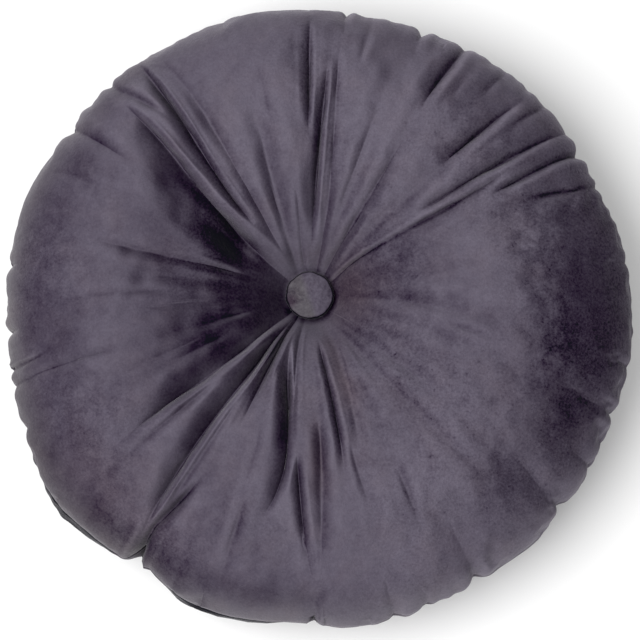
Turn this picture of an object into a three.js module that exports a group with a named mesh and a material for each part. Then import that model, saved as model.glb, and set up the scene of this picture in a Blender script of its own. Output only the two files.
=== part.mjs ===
// Round velvet cushion, drawn in at its middle by a button sewn through to a second one behind.
// It lies on its back. Millimetres, +Z up, the floor at z = 0, the outline's centre over the origin.
// Angles are in degrees, counter-clockwise from +X as seen from above.

import * as THREE from 'three';

// Driving sizes of the cushion
const diameter = 400;
const seamHeight = 45; // height of the seam round the side
const frontRise = 59; // how far the filling lifts the front above the seam
const backDrop = 53; // how far it would push the back below the seam if there were no floor
const fullness = 2.6; // a higher value carries the swell further out towards the seam
const roundness = 2.2; // a higher value makes the side steeper at the seam
const seamPinch = 2.2; // how far the seam lies behind the swell above and below it
const pinchHeight = 5;
const lobeRise = 1.8; // how far the filling swells up between two folds

// The tuft: where the thread passes through, and the hollow it pulls in each face
const tuftX = -4;
const tuftY = 12;
const frontHollow = { depth: 34, reach: 46, sharpness: 1.25 };
const funnel = { depth: 16, reach: 15, sharpness: 1 }; // the steeper part of it, close round the tuft
const backHollow = { depth: 32, reach: 25, sharpness: 1.3 };
const longerSide = { angle: 172, width: 62, more: 30 }; // the front hollow reaches further out to this side

// and beyond it the filling crowns higher; the last two are shares of the way out over which that ends
const farCrown = { width: 60, distance: 140, length: 45, height: 6, fade: [0.85, 1] };

// Covered buttons
const frontButton = { radius: 15.3, side: 4.2, crown: 2.2 };
const backButton = { radius: 13, side: 4.2, crown: 2.2 };
const seatRadius = 16.6; // the flat bed of cloth under a button
const clearance = 0.35; // between a button and the cloth it presses on
const buttonSides = 40;
const buttonSideSteps = 5;
const buttonSideSweep = 150; // degrees of the rounded side, from its foot
const buttonFaceSteps = 5;

// Colours
const velvetColour = 0x5d5763;
const buttonColour = 0x5a555f;

// Folds, counter-clockwise round the tuft. A fold is a valley that runs out from the tuft.
//   near, middle, rim: its angle at the three stations below
//   start, end: where it runs, in millimetres from the tuft
//   depth: how deep it is; 0 where only the rim is puckered
//   before, after: widths of its clockwise and its counter-clockwise flank, at the middle station
//   flare: how fast the flanks widen away from the tuft, as a power of the distance
//   reach, notch: how far a pucker runs in from the seam, and how far it draws in the rim
const stations = { near: 30, middle: 100, rim: 180 };
const foldColumns = [
  'near', 'middle', 'rim', 'start', 'end', 'depth', 'before', 'after', 'flare', 'reach', 'notch',
];
const foldRows = [
  [5, 5.5, 6, 0, 0, 0, 6, 6, 0, 26, 2.4],
  [19, 22.8, 21, 150, 190, 2.2, 4.5, 4.5, 0.5, 28, 3.2],
  [24.5, 26.4, 27.8, 132, 190, 3.6, 4, 5.6, 0.3, 34, 4.4],
  [33.2, 30.2, 31.8, 14, 134, 2.8, 6, 2.8, 0.3, 0, 0],
  [36.4, 34.2, 32.6, 84, 182, 3.8, 4, 7.5, 0.2, 20, 1],
  [45, 43.3, 42.4, 114, 168, 4.4, 4.6, 9, 0.2, 14, 0.8],
  [55.4, 57.8, 61.4, 14, 100, 2.4, 4.5, 6, 0.2, 0, 0],
  [67, 67, 66.8, 0, 0, 0, 5, 6, 0, 36, 5.4],
  [75, 81, 82.6, 14, 148, 1.3, 3.6, 7, 0.1, 36, 4],
  [87.6, 85.7, 85, 30, 128, 5, 2.4, 8, -0.3, 0, 0],
  [92, 90.2, 89.9, 100, 162, 3.2, 2.4, 4.4, 0.3, 0, 0],
  [112.4, 107.8, 107.4, 14, 104, 1.5, 6.5, 7.5, 0.3, 24, 2],
  [124, 121.2, 122.5, 34, 172, 1.3, 5, 7, 0.5, 0, 0],
  [133, 128.4, 126.4, 56, 172, 5.6, 2.6, 9, 0.3, 0, 0],
  [143, 136.2, 135, 12, 150, 9.5, 4, 28, -0.6, 0, 0],
  [150, 146.2, 144.6, 140, 186, 1.5, 5, 7, 0.5, 34, 4.2],
  [164.6, 167.5, 166.6, 40, 138, 1.6, 3.5, 5, 0.4, 0, 0],
  [175, 174.5, 174, 0, 0, 0, 6, 6, 0, 28, 4.8],
  [186, 187, 187, 0, 0, 0, 6, 6, 0, 32, 5],
  [198, 198, 197, 130, 192, 2, 5, 4, 0.5, 30, 3],
  [204, 205, 205, 80, 128, 0.8, 5, 5, 0.5, 26, 4],
  [223, 220.6, 219.4, 12, 142, 5.2, 16, 4, 0, 0, 0],
  [235.8, 234.2, 235.4, 20, 170, 6.4, 12, 3.4, 0.2, 0, 0],
  [239.4, 241.4, 237, 138, 206, 5, 5, 3.4, 0.4, 34, 12],
  [242.8, 244, 245, 14, 80, 3.6, 4.5, 3.4, 0.3, 0, 0],
  [250, 262.2, 251, 38, 132, 5.8, 8.5, 4, 0.2, 0, 0],
  [260, 265.2, 270.8, 106, 168, 3.2, 4.5, 3.2, 0.4, 30, 7],
  [273.5, 273.6, 272.6, 84, 160, 2, 7, 6, 0.3, 22, 1.5],
  [282, 280.7, 280.2, 34, 102, 2.4, 5, 3.4, 0.6, 0, 0],
  [297.6, 287.2, 284.6, 14, 90, 2.1, 9, 8, 0, 32, 3.2],
  [300, 295.2, 291, 118, 160, 0.3, 7, 7, 0.5, 24, 2],
  [306, 303, 300.3, 0, 0, 0, 8, 8, 0, 42, 5.5],
  [318, 321, 319.5, 16, 80, 1, 8, 11, 0.3, 40, 5],
  [329, 329, 328.5, 0, 0, 0, 6, 7, 0, 28, 2.6],
  [339, 339, 338.5, 0, 0, 0, 6, 7, 0, 32, 5.6],
  [354.6, 350, 347.5, 30, 100, 1.4, 6, 9, 0.3, 22, 1.5],
];
const folds = foldRows.map(row => Object.fromEntries(foldColumns.map((name, k) => [name, row[k]])));

// Broad unevenness of the outline, about its centre: angle, how far out it swells, how many degrees wide
const swells = [
  { angle: 0, out: 3, width: 16 },
  { angle: 17, out: 1, width: 4 },
  { angle: 45, out: 1.5, width: 10 },
  { angle: 74, out: -2.6, width: 11 },
  { angle: 101, out: 1.4, width: 9 },
  { angle: 126, out: 1.3, width: 6 },
  { angle: 158, out: 2.2, width: 9 },
  { angle: 184, out: -1.8, width: 8 },
  { angle: 215, out: 5.8, width: 11 },
  { angle: 235.5, out: -6, width: 5 },
  { angle: 249, out: 2.8, width: 9 },
  { angle: 266, out: -3.6, width: 4.5 },
  { angle: 279, out: 1.4, width: 5 },
  { angle: 313, out: 1.8, width: 6 },
  { angle: 350, out: 1.4, width: 8 },
];

// Where the back's cloth hangs out a little beyond the front's, about the outline's centre
const backBulges = [
  { angle: 215, out: 3.4, width: 13 },
  { angle: 252, out: 2.2, width: 12 },
];

// Rings of points, as shares of the way from the tuft to the seam
const frontRings = [0.079, 0.1, 0.13, 0.17, 0.22, 0.28, 0.35, 0.42, 0.5, 0.58, 0.66, 0.74, 0.81,
  0.87, 0.92, 0.955, 0.98, 0.994];
const backRings = [0.994, 0.975, 0.935, 0.86, 0.75, 0.6, 0.45, 0.32, 0.22, 0.15, 0.11, 0.08];
const columnSpacing = 1.75; // degrees between two lines of points, before they gather at the folds
const columnGathering = 0.4; // 0 spreads them evenly, 1 draws them right into the folds
const fewestColumns = 2; // at least this many between two folds, and an even number of them

// How folds and swells fade, in millimetres where nothing else is said
const foldRamp = { base: 10, perDepth: 3, out: 22 }; // a fold fades in over base and more for its depth
const narrowestAt = 25; // a fold's flanks get no narrower than they are this far from the tuft
const flankPower = 2.2; // how a flank flattens out away from the floor
const creaseRounding = 0.45; // roundness of a fold's floor where a side is steep
const valleyRounding = { more: 2.6, from: 4.5, to: 8 }; // and more between gentle sides, by their width
const ridge = { height: 0.12, place: 1.25, width: 0.45 }; // beside a fold, in shares of its depth and flank
const lobeFade = { in: [0.12, 0.4], out: [0.7, 1] }; // shares of the way out
const fullLobeGap = 16; // degrees between two folds from which the filling swells up fully
const bulgeFade = { in: [0.5, 0.9], out: [0.97, 1] }; // shares of the way out, on the back
const backPucker = 0.7; // a pucker is this much shorter on the back

const radians = degrees => degrees * Math.PI / 180;
const wrapped = degrees => ((degrees + 180) % 360 + 360) % 360 - 180;
const bell = (x, width) => Math.exp(-((x / width) ** 2));

function smoothStep(from, to, x) {
  const share = Math.min(1, Math.max(0, (x - from) / (to - from)));
  return share * share * (3 - 2 * share);
}

// Angle of a fold's floor at a distance from the tuft: the parabola through its three stations
function foldAngle(fold, distance) {
  const { near, middle, rim } = stations;
  const r = Math.min(rim, Math.max(near, distance));
  return fold.near * (r - middle) * (r - rim) / ((near - middle) * (near - rim))
    + fold.middle * (r - near) * (r - rim) / ((middle - near) * (middle - rim))
    + fold.rim * (r - near) * (r - middle) / ((rim - near) * (rim - middle));
}

const swellAt = (rows, angle) =>
  rows.reduce((sum, row) => sum + row.out * bell(wrapped(angle - row.angle), row.width), 0);

// The point of the un-puckered outline that lies in a direction from the tuft, as an offset from it
function rimOffset(angle) {
  const direction = new THREE.Vector2(Math.cos(radians(angle)), Math.sin(radians(angle)));
  const tuft = new THREE.Vector2(tuftX, tuftY);
  const radius = diameter / 2;
  const along = direction.dot(tuft);
  const distance = -along + Math.sqrt(radius ** 2 - tuft.lengthSq() + along ** 2);
  const point = direction.clone().multiplyScalar(distance).add(tuft);
  const bearing = THREE.MathUtils.radToDeg(point.angle());
  point.setLength(radius + swellAt(swells, bearing));
  return { offset: point.sub(tuft), bearing };
}

// Height of the smooth face at a share of the way from the tuft to the seam
const dome = share => Math.max(0, 1 - share ** fullness) ** (1 / roundness);

function hollowAt({ depth, sharpness }, reach, distance) {
  return depth * Math.exp(-((distance / reach) ** sharpness));
}

function frontHeight(share, length, angle) {
  const distance = Math.max(0, share * length - seatRadius);
  const away = wrapped(angle - longerSide.angle);
  const reach = frontHollow.reach + longerSide.more * bell(away, longerSide.width);
  const hollow = hollowAt(frontHollow, reach, distance) + hollowAt(funnel, funnel.reach, distance);
  const crown = farCrown.height * bell(away, farCrown.width)
    * bell(share * length - farCrown.distance, farCrown.length) * (1 - smoothStep(...farCrown.fade, share));
  return seamHeight + frontRise * dome(share) - hollow + crown;
}

function backHeight(share, length) {
  const distance = Math.max(0, share * length - seatRadius);
  return seamHeight - backDrop * dome(share) + hollowAt(backHollow, backHollow.reach, distance);
}

// Heights of the two beds of cloth that the buttons press on
const frontSeat = seamHeight + frontRise - frontHollow.depth - funnel.depth;
const backSeat = seamHeight - backDrop + backHollow.depth;

// A fold's cross-section: 1 on its floor, rising ever more gently to 0, then a low ridge beside it
function valley(fold, angle, distance, softer = 0) {
  const offset = distance * radians(wrapped(angle - foldAngle(fold, distance)));
  const flank = offset < 0 ? fold.before : fold.after;
  const width = flank * (Math.max(distance, narrowestAt) / stations.middle) ** fold.flare;
  const rounding = (creaseRounding + softer) / width;
  const q = Math.hypot(offset / width, rounding) - rounding;
  return Math.max(0, 1 - q) ** flankPower - ridge.height * bell(q - ridge.place, ridge.width);
}

// How deep the folds lie at a place on the front
function foldDepth(angle, distance) {
  let depth = 0;
  for (const fold of folds) {
    if (fold.depth === 0) continue;
    const ramp = foldRamp.base + foldRamp.perDepth * fold.depth;
    const fade = smoothStep(fold.start, fold.start + ramp, distance)
      * (1 - smoothStep(fold.end - foldRamp.out, fold.end + foldRamp.out, distance));
    const narrower = Math.min(fold.before, fold.after);
    const softer = valleyRounding.more * smoothStep(valleyRounding.from, valleyRounding.to, narrower);
    depth += fold.depth * fade * valley(fold, angle, distance, softer);
  }
  return depth;
}

// How far the puckers draw the cloth in, at a distance up or down the cloth from the seam
function puckerDepth(angle, distance, fromSeam, lengthening) {
  let depth = 0;
  for (const fold of folds) {
    if (fold.notch === 0) continue;
    const fade = 1 - smoothStep(0, fold.reach * lengthening, fromSeam);
    depth += fold.notch * fade * valley(fold, angle, distance);
  }
  return depth;
}

// Lines of points run out from the tuft, one along each fold and the rest spread between the folds
function makeColumns() {
  const columns = [];
  folds.forEach((fold, k) => {
    const wraps = k === folds.length - 1;
    const next = folds[(k + 1) % folds.length];
    const gap = next.middle + (wraps ? 360 : 0) - fold.middle;
    const count = Math.max(fewestColumns, 2 * Math.round(gap / columnSpacing / 2));
    for (let j = 0; j < count; j += 1) {
      const even = j / count;
      const share = even - columnGathering * Math.sin(2 * Math.PI * even) / (2 * Math.PI);
      const angleAt = distance => {
        const from = foldAngle(fold, distance);
        const to = foldAngle(next, distance) + (wraps ? 360 : 0);
        return from + (to - from) * share;
      };
      columns.push({ angleAt, lobe: Math.sin(Math.PI * share) ** 2 * Math.min(1, gap / fullLobeGap) ** 2 });
    }
  });
  return columns;
}

// A point on the cushion. height gives the smooth face, side is 1 on the front and -1 on the back.
function cushionPoint(column, share, side, fromSeam) {
  const height = side > 0 ? frontHeight : backHeight;
  const { offset, bearing } = rimOffset(column.angleAt(share * diameter / 2));
  const length = offset.length();
  const angle = THREE.MathUtils.radToDeg(offset.angle());
  const distance = share * length;
  const out = offset.clone().normalize();

  // the smooth profile's normal, from its slope; at the seam it points straight out
  const step = 0.002;
  const inner = height(Math.max(0, share - step), length, angle);
  const outer = height(Math.min(1, share + step), length, angle);
  const slope = (outer - inner) / (2 * step * length);
  const normal = share === 1 ? new THREE.Vector2(1, 0) : new THREE.Vector2(-slope * side, 1).normalize();

  const between = ([from, to]) => smoothStep(from, to, share);
  const lift = side > 0 ? lobeRise * column.lobe * between(lobeFade.in) * (1 - between(lobeFade.out)) : 0;
  const sink = (side > 0 ? foldDepth(angle, distance) : 0)
    + puckerDepth(angle, distance, fromSeam, side > 0 ? 1 : backPucker);
  const smooth = height(share, length, angle);
  const pinch = seamPinch * bell(smooth - seamHeight, pinchHeight);
  const hang = between(bulgeFade.in) * (1 - between(bulgeFade.out));
  const bulge = side < 0 ? swellAt(backBulges, bearing) * hang : 0;

  const move = lift - sink;
  const radial = distance + normal.x * move - pinch + bulge;
  const z = smooth + side * normal.y * move;
  return new THREE.Vector3(tuftX + out.x * radial, tuftY + out.y * radial, Math.max(0, z));
}

// Length of cloth from each ring to the seam, along the smooth profile
function clothFromSeam(rings, height) {
  const length = diameter / 2;
  const steps = 400;
  const heightAt = share => height(share, length, longerSide.angle);
  return rings.map(share => {
    let sum = 0;
    for (let k = 0; k < steps; k += 1) {
      const a = share + (1 - share) * (1 - (1 - k / steps) ** 2);
      const b = share + (1 - share) * (1 - (1 - (k + 1) / steps) ** 2);
      sum += Math.hypot((b - a) * length, heightAt(b) - heightAt(a));
    }
    return sum;
  });
}

// The filled cushion as one closed skin: front, seam and back, with half as many columns on the back
function cushionGeometry() {
  const columns = makeColumns();
  const backColumns = columns.filter((column, k) => k % 2 === 0);
  const positions = [];
  const faces = [];
  const addRing = (ring, share, side, fromSeam) => {
    const first = positions.length / 3;
    ring.forEach(column => positions.push(...cushionPoint(column, share, side, fromSeam).toArray()));
    return { first, count: ring.length };
  };
  const addPoint = z => {
    positions.push(tuftX, tuftY, z);
    return positions.length / 3 - 1;
  };
  const joinRings = (inner, outer) => {
    for (let k = 0; k < inner.count; k += 1) {
      const next = (k + 1) % inner.count;
      faces.push(inner.first + k, outer.first + k, outer.first + next);
      faces.push(inner.first + k, outer.first + next, inner.first + next);
    }
  };

  const front = clothFromSeam(frontRings, frontHeight);
  const back = clothFromSeam(backRings, backHeight);
  const rings = frontRings.map((share, k) => addRing(columns, share, 1, front[k]));
  rings.push(addRing(columns, 1, 1, 0));
  const top = addPoint(frontSeat);
  for (let k = 0; k < columns.length; k += 1) {
    faces.push(top, rings[0].first + k, rings[0].first + (k + 1) % columns.length);
  }
  for (let k = 0; k + 1 < rings.length; k += 1) {
    joinRings(rings[k], rings[k + 1]);
  }

  const seam = rings[rings.length - 1];
  const lower = backRings.map((share, k) => addRing(backColumns, share, -1, back[k]));
  for (let k = 0; k < backColumns.length; k += 1) {
    const here = lower[0].first + k;
    const next = lower[0].first + (k + 1) % backColumns.length;
    const left = seam.first + 2 * k;
    const middle = left + 1;
    const right = seam.first + (2 * k + 2) % columns.length;
    faces.push(left, here, middle, middle, here, next, middle, next, right);
  }
  for (let k = 0; k + 1 < lower.length; k += 1) {
    joinRings(lower[k], lower[k + 1]);
  }
  const last = lower[lower.length - 1];
  const bottom = addPoint(backSeat);
  for (let k = 0; k < backColumns.length; k += 1) {
    faces.push(bottom, last.first + (k + 1) % backColumns.length, last.first + k);
  }

  const geometry = new THREE.BufferGeometry();
  geometry.setAttribute('position', new THREE.Float32BufferAttribute(positions, 3));
  geometry.setIndex(faces);
  geometry.computeVertexNormals();
  return geometry;
}

// A covered button standing on z = 0: a flat foot, a rounded side and a face that is a shallow dome
function buttonGeometry({ radius, side, crown }) {
  const profile = [new THREE.Vector2(0, 0)];
  const middle = radius - side / 2;
  for (let k = 0; k <= buttonSideSteps; k += 1) {
    const turn = radians(-90 + buttonSideSweep * k / buttonSideSteps);
    profile.push(new THREE.Vector2(middle + side / 2 * Math.cos(turn), side / 2 * (1 + Math.sin(turn))));
  }
  const edge = profile[profile.length - 1];
  const domeRadius = (edge.x ** 2 + crown ** 2) / (2 * crown);
  for (let k = buttonFaceSteps - 1; k >= 0; k -= 1) {
    const x = edge.x * k / buttonFaceSteps;
    profile.push(new THREE.Vector2(x, edge.y + crown - domeRadius + Math.sqrt(domeRadius ** 2 - x ** 2)));
  }
  const geometry = new THREE.LatheGeometry(profile, buttonSides);
  geometry.rotateX(Math.PI / 2);
  return geometry;
}

function velvetMesh(name, geometry, colour) {
  const material = new THREE.MeshStandardMaterial({ color: colour, roughness: 0.85, metalness: 0 });
  const mesh = new THREE.Mesh(geometry, material);
  mesh.name = name;
  return mesh;
}

const group = new THREE.Group();

const cushion = velvetMesh('cushion', cushionGeometry(), velvetColour);
group.add(cushion);

const front = velvetMesh('button_front', buttonGeometry(frontButton), buttonColour);
front.position.set(tuftX, tuftY, frontSeat + clearance);
group.add(front);

const back = velvetMesh('button_back', buttonGeometry(backButton), buttonColour);
back.position.set(tuftX, tuftY, backSeat - clearance);
back.rotation.x = Math.PI;
group.add(back);

export default group;
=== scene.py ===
import math

import bpy
import numpy as np
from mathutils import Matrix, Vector


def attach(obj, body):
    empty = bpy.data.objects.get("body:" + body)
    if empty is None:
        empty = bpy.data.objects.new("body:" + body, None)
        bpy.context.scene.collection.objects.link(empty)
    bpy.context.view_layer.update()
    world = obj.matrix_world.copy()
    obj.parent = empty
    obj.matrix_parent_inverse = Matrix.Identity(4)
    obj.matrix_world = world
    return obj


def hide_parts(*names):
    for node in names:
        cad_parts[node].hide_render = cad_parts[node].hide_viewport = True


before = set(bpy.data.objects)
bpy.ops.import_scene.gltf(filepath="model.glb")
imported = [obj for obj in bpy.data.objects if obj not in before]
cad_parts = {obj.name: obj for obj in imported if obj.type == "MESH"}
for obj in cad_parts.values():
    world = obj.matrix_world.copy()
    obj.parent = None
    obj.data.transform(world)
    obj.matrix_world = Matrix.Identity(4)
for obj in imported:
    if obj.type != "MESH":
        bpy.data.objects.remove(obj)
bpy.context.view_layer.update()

mm = 0.001

# A round velvet cushion, tied in its middle by a covered button on each face. Shapes are worked out in
# millimetres in the CAD's frame, angles are in degrees from +X, and meshes are in metres.

cushionShape = {
    "diameter": 400,
    "seamHeight": 45,
    "frontRise": 59,  # how far the filling lifts the front above the seam
    "backDrop": 53,  # how far it would push the back below the seam if there were no floor
    "fullness": 2.6,
    "roundness": 2.2,
    "seamPinch": 2.2,
    "pinchHeight": 5,
    "lobeRise": 1.8,  # between two folds
    "lobeGap": 16,  # degrees; less where the folds lie closer together than this
    "lobeSpan": (0.12, 0.4, 0.7),  # shares of the way out: grow over two, and fade from the third to the rim
    "bulgeSpan": (0.5, 0.9, 0.985),  # the same for a bulge of the back
    "tuck": (0.4, 3, 10),  # the front is tucked in above a bulge: share of it, distance from the seam, length
    "tuft": (-4, 12),
    "frontHollow": (34, 46, 1.25),  # depth, reach and sharpness
    "funnel": (16, 15, 1),  # the steeper part of it, close round the tuft
    "backHollow": (32, 25, 1.3),
    "longerSide": (172, 62, 30),  # the front hollow runs further out here: angle, degrees wide, by how much
    "farCrown": (172, 60, 140, 45, 6),  # and the filling crowns here: angle, width, distance, length, height
    "crownFade": 0.85,  # a share of the way out; the crown fades from here to the rim
    "seatRadius": 16.4,
    "columns": 1100,  # lines of points that run out from the tuft
    "rings": 190,  # and rings of points, from one tuft round the seam to the other
    "firstRing": 0.93,  # a share of the seat's radius
    "frontRings": 0.66,  # the share of the rings that lies on the front
    "ringSpread": 0.9,
    "gathering": 0.45,  # how far the columns crowd into the folds
    "creaseRounding": 0.45,  # millimetres, of a fold with a steep side
    "valleyRounding": (2.6, 4.5, 8),  # more between gentle sides: how much, and the widths it grows between
    "flankPower": 2.2,
    "ridge": (0.12, 1.25, 0.45),  # beside a fold: a share of its depth, then place and width in flanks
    "flareFrom": (25, 100),  # flanks narrow no further within the first, and have their width at the second
    "foldRamp": (4, 10, 3, 22),  # starts this far before, takes this, plus this a mm deep, and this at the end
    "backPuckers": 0.7,  # how long they are on the back, as a share of their reach
}

# How the cloth lies unevenly. Each pair is a size in millimetres (a share for the fold's depth) and a length.
clothUnevenness = {
    "waver": (0.5, 90),  # folds wander sideways
    "foldDepth": (0.22, 42),
    "depthRange": (0.3, 1.7),
    "lumps": [(0.5, 60), (0.16, 24), (0.1, 11)],
    "lumpsFrom": (19, 40),  # distances from the tuft that they grow over
    "lumpsOnFloor": (0.35, 3),  # their share where the cloth rests, and the height they are whole at
    "gathers": (0.55, 17),  # small gathers by the seam, and how far they reach
    "gatherCounts": (41, 67, 89, 127),
    "gatherPatches": (0.6, 0.6, 70, 1.5),  # how strong they are: mean, spread, length of the patches, most
    "seamGroove": (0.9, 1.1),
    "seed": 11,
}

# near, middle, rim: a fold's angle at these distances from the tuft
stations = (30, 100, 180)

# start, end: where it runs. depth: how deep it lies. before, after: how wide its two flanks are 100 mm from
# the tuft. flare: how fast they widen further out, as a power of the distance.
# reach, notch: how far a pucker runs in from the seam, and how far it draws in the rim.
foldColumns = ("near", "middle", "rim", "start", "end", "depth", "before", "after", "flare", "reach", "notch")
foldRows = [
    (5, 5.5, 6, 0, 0, 0, 6, 6, 0, 26, 2.4),
    (19, 22.8, 21, 150, 190, 2.2, 4.5, 4.5, 0.5, 28, 3.2),
    (24.5, 26.4, 27.8, 132, 190, 3.6, 4, 5.6, 0.3, 34, 4.4),
    (33.2, 30.2, 31.8, 14, 134, 2.8, 6, 2.8, 0.3, 0, 0),
    (36.4, 34.2, 32.6, 84, 182, 3.8, 4, 7.5, 0.2, 20, 1),
    (45, 43.3, 42.4, 114, 168, 4.4, 4.6, 9, 0.2, 14, 0.8),
    (55.4, 57.8, 61.4, 14, 100, 2.4, 4.5, 6, 0.2, 0, 0),
    (67, 67, 66.8, 0, 0, 0, 5, 6, 0, 36, 5.4),
    (75, 81, 82.6, 14, 148, 1.3, 3.6, 7, 0.1, 36, 4),
    (87.6, 85.7, 85, 30, 128, 5, 2.4, 8, -0.3, 0, 0),
    (92, 90.2, 89.9, 100, 162, 3.2, 2.4, 4.4, 0.3, 0, 0),
    (112.4, 107.8, 107.4, 14, 104, 1.5, 6.5, 7.5, 0.3, 24, 2),
    (124, 121.2, 122.5, 34, 172, 1.3, 5, 7, 0.5, 0, 0),
    (133, 128.4, 126.4, 56, 172, 5.6, 2.6, 9, 0.3, 0, 0),
    (143, 136.2, 135, 12, 150, 9.5, 4, 28, -0.6, 0, 0),
    (150, 146.2, 144.6, 140, 186, 1.5, 5, 7, 0.5, 34, 4.2),
    (164.6, 167.5, 166.6, 40, 138, 1.6, 3.5, 5, 0.4, 0, 0),
    (175, 174.5, 174, 0, 0, 0, 6, 6, 0, 28, 4.8),
    (186, 187, 187, 0, 0, 0, 6, 6, 0, 32, 5),
    (198, 198, 197, 130, 192, 2, 5, 4, 0.5, 30, 3),
    (204, 205, 205, 80, 128, 0.8, 5, 5, 0.5, 26, 4),
    (223, 220.6, 219.4, 12, 142, 5.2, 16, 4, 0, 0, 0),
    (235.8, 234.2, 235.4, 20, 170, 6.4, 12, 3.4, 0.2, 0, 0),
    (239.4, 241.4, 237, 138, 206, 5, 5, 3.4, 0.4, 34, 12),
    (242.8, 244, 245, 14, 80, 3.6, 4.5, 3.4, 0.3, 0, 0),
    (250, 262.2, 251, 38, 132, 5.8, 8.5, 4, 0.2, 0, 0),
    (260, 265.2, 270.8, 106, 168, 3.2, 4.5, 3.2, 0.4, 30, 7),
    (273.5, 273.6, 272.6, 84, 160, 2, 7, 6, 0.3, 22, 1.5),
    (282, 280.7, 280.2, 34, 102, 2.4, 5, 3.4, 0.6, 0, 0),
    (297.6, 287.2, 284.6, 14, 90, 2.1, 9, 8, 0, 32, 3.2),
    (300, 295.2, 291, 118, 160, 0.3, 7, 7, 0.5, 24, 2),
    (306, 303, 300.3, 0, 0, 0, 8, 8, 0, 42, 5.5),
    (318, 321, 319.5, 16, 80, 1, 8, 11, 0.3, 40, 5),
    (329, 329, 328.5, 0, 0, 0, 6, 7, 0, 28, 2.6),
    (339, 339, 338.5, 0, 0, 0, 6, 7, 0, 32, 5.6),
    (354.6, 350, 347.5, 30, 100, 1.4, 6, 9, 0.3, 22, 1.5),
]

# Slighter folds that lie between those
fineFoldRows = [
    (24, 24, 24, 160, 190, 0.8, 4, 4, 0.5, 18, 1.2),
    (39.5, 39.5, 39.2, 164, 190, 1.1, 3.5, 4, 0.5, 16, 0.8),
    (41.5, 41, 40.5, 40, 130, 1, 6, 8, 0.5, 0, 0),
    (49, 49, 49, 164, 190, 1.1, 4, 5, 0.5, 14, 0.8),
    (54, 54, 54, 150, 172, 0.8, 3, 4, 0.5, 0, 0),
    (60, 59.2, 58, 136, 184, 4.4, 4, 7.5, 0.3, 14, 0.8),
    (68, 69.5, 70, 56, 122, 0.6, 4, 5, 0.5, 0, 0),
    (77.5, 77.5, 77.5, 148, 176, 1.2, 3, 4, 0.5, 0, 0),
    (99, 97, 97, 14, 62, 0.9, 5, 5, 0.5, 0, 0),
    (104, 103.5, 104, 112, 136, 0.6, 4, 4, 0.5, 0, 0),
    (131, 128, 133.2, 142, 190, 3, 4, 6, 0.5, 20, 1.6),
    (145, 141, 138.5, 0, 0, 0, 6, 6, 0, 24, 2.2),
    (155, 154.5, 154, 145, 175, 0.7, 5, 5, 0.5, 0, 0),
    (179, 181.4, 183.2, 88, 152, 1, 4, 4, 0.5, 0, 0),
    (190.6, 191.2, 193.8, 168, 196, 3.6, 2.5, 6, 0, 20, 4.5),
    (199, 198, 198, 36, 100, 1.2, 8, 6, 0.5, 0, 0),
    (208, 209, 210, 60, 122, 1.1, 6, 5, 0.5, 0, 0),
    (226, 224.6, 222, 82, 162, 1.4, 4, 3.5, 0.5, 0, 0),
    (238.6, 237.6, 237, 84, 168, 1.3, 3.5, 3, 0.5, 0, 0),
    (247.5, 247, 247, 18, 60, 0.4, 4, 4, 0.5, 0, 0),
    (251.5, 251.5, 251.5, 96, 150, 0.8, 3.5, 3.5, 0.5, 0, 0),
    (253, 253, 253, 138, 186, 1.4, 4, 5, 0.5, 0, 0),
    (258, 258, 258.4, 160, 190, 1.3, 5, 5, 0.5, 12, 0.8),
    (262, 262.6, 263.4, 168, 196, 3.2, 5, 4, 0.5, 10, 0.8),
    (259.5, 264.3, 266, 20, 92, 1.9, 4.5, 3.8, 0.5, 0, 0),
    (283, 283.8, 288, 104, 132, 1.1, 4, 5, 0.5, 0, 0),
    (298, 296.6, 294.8, 122, 158, 1, 4, 5, 0.5, 0, 0),
    (309, 310.8, 312.6, 24, 150, 1.8, 9, 7, 0.3, 0, 0),
    (334, 334, 333.3, 0, 0, 0, 5, 5, 0, 18, 1.4),
    (344, 344, 344, 88, 114, 1, 4, 4, 0.5, 0, 0),
]

# Broad unevenness of the outline about its centre: angle, how far out, how many degrees wide
swells = [(0, 3, 16), (17, 1, 4), (45, 1.5, 10), (74, -2.6, 11), (101, 1.4, 9), (126, 1.3, 6), (158, 2.2, 9),
          (184, -1.8, 8), (215, 5.8, 11), (235.5, -6, 5), (249, 2.8, 9), (266, -3.6, 4.5), (279, 1.4, 5),
          (313, 1.8, 6), (350, 1.4, 8)]
# Where the back bulges out past the seam, and the front is tucked in above it
backBulges = [(218.5, 4.4, 9), (245, 3.4, 7), (258, 2.2, 8)]


def smoothStep(low, high, x):
    # 0 up to low, 1 from high on, and 3 s^2 - 2 s^3 between them
    share = np.clip((x - low) / (high - low), 0, 1)
    return share * share * (3 - 2 * share)


def bell(x, width):
    # exp(-(x / width)^2)
    return np.exp(-((x / width) ** 2))


def wrapped(degrees):
    # the same angle between -180 and 180
    return (degrees + 180) % 360 - 180


def named(rows):
    # each row of a fold table with its columns' names
    return [dict(zip(foldColumns, row)) for row in rows]


def foldAngle(fold, distance):
    # the parabola through the fold's angles at the three stations
    near, middle, rim = stations
    r = np.clip(distance, near, rim)
    return (fold["near"] * (r - middle) * (r - rim) / ((near - middle) * (near - rim))
            + fold["middle"] * (r - near) * (r - rim) / ((middle - near) * (middle - rim))
            + fold["rim"] * (r - near) * (r - middle) / ((rim - near) * (rim - middle)))


def swellAt(rows, angle):
    # the sum of the rows' bells at this angle
    return sum(out * bell(wrapped(angle - centre), width) for centre, out, width in rows)


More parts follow.
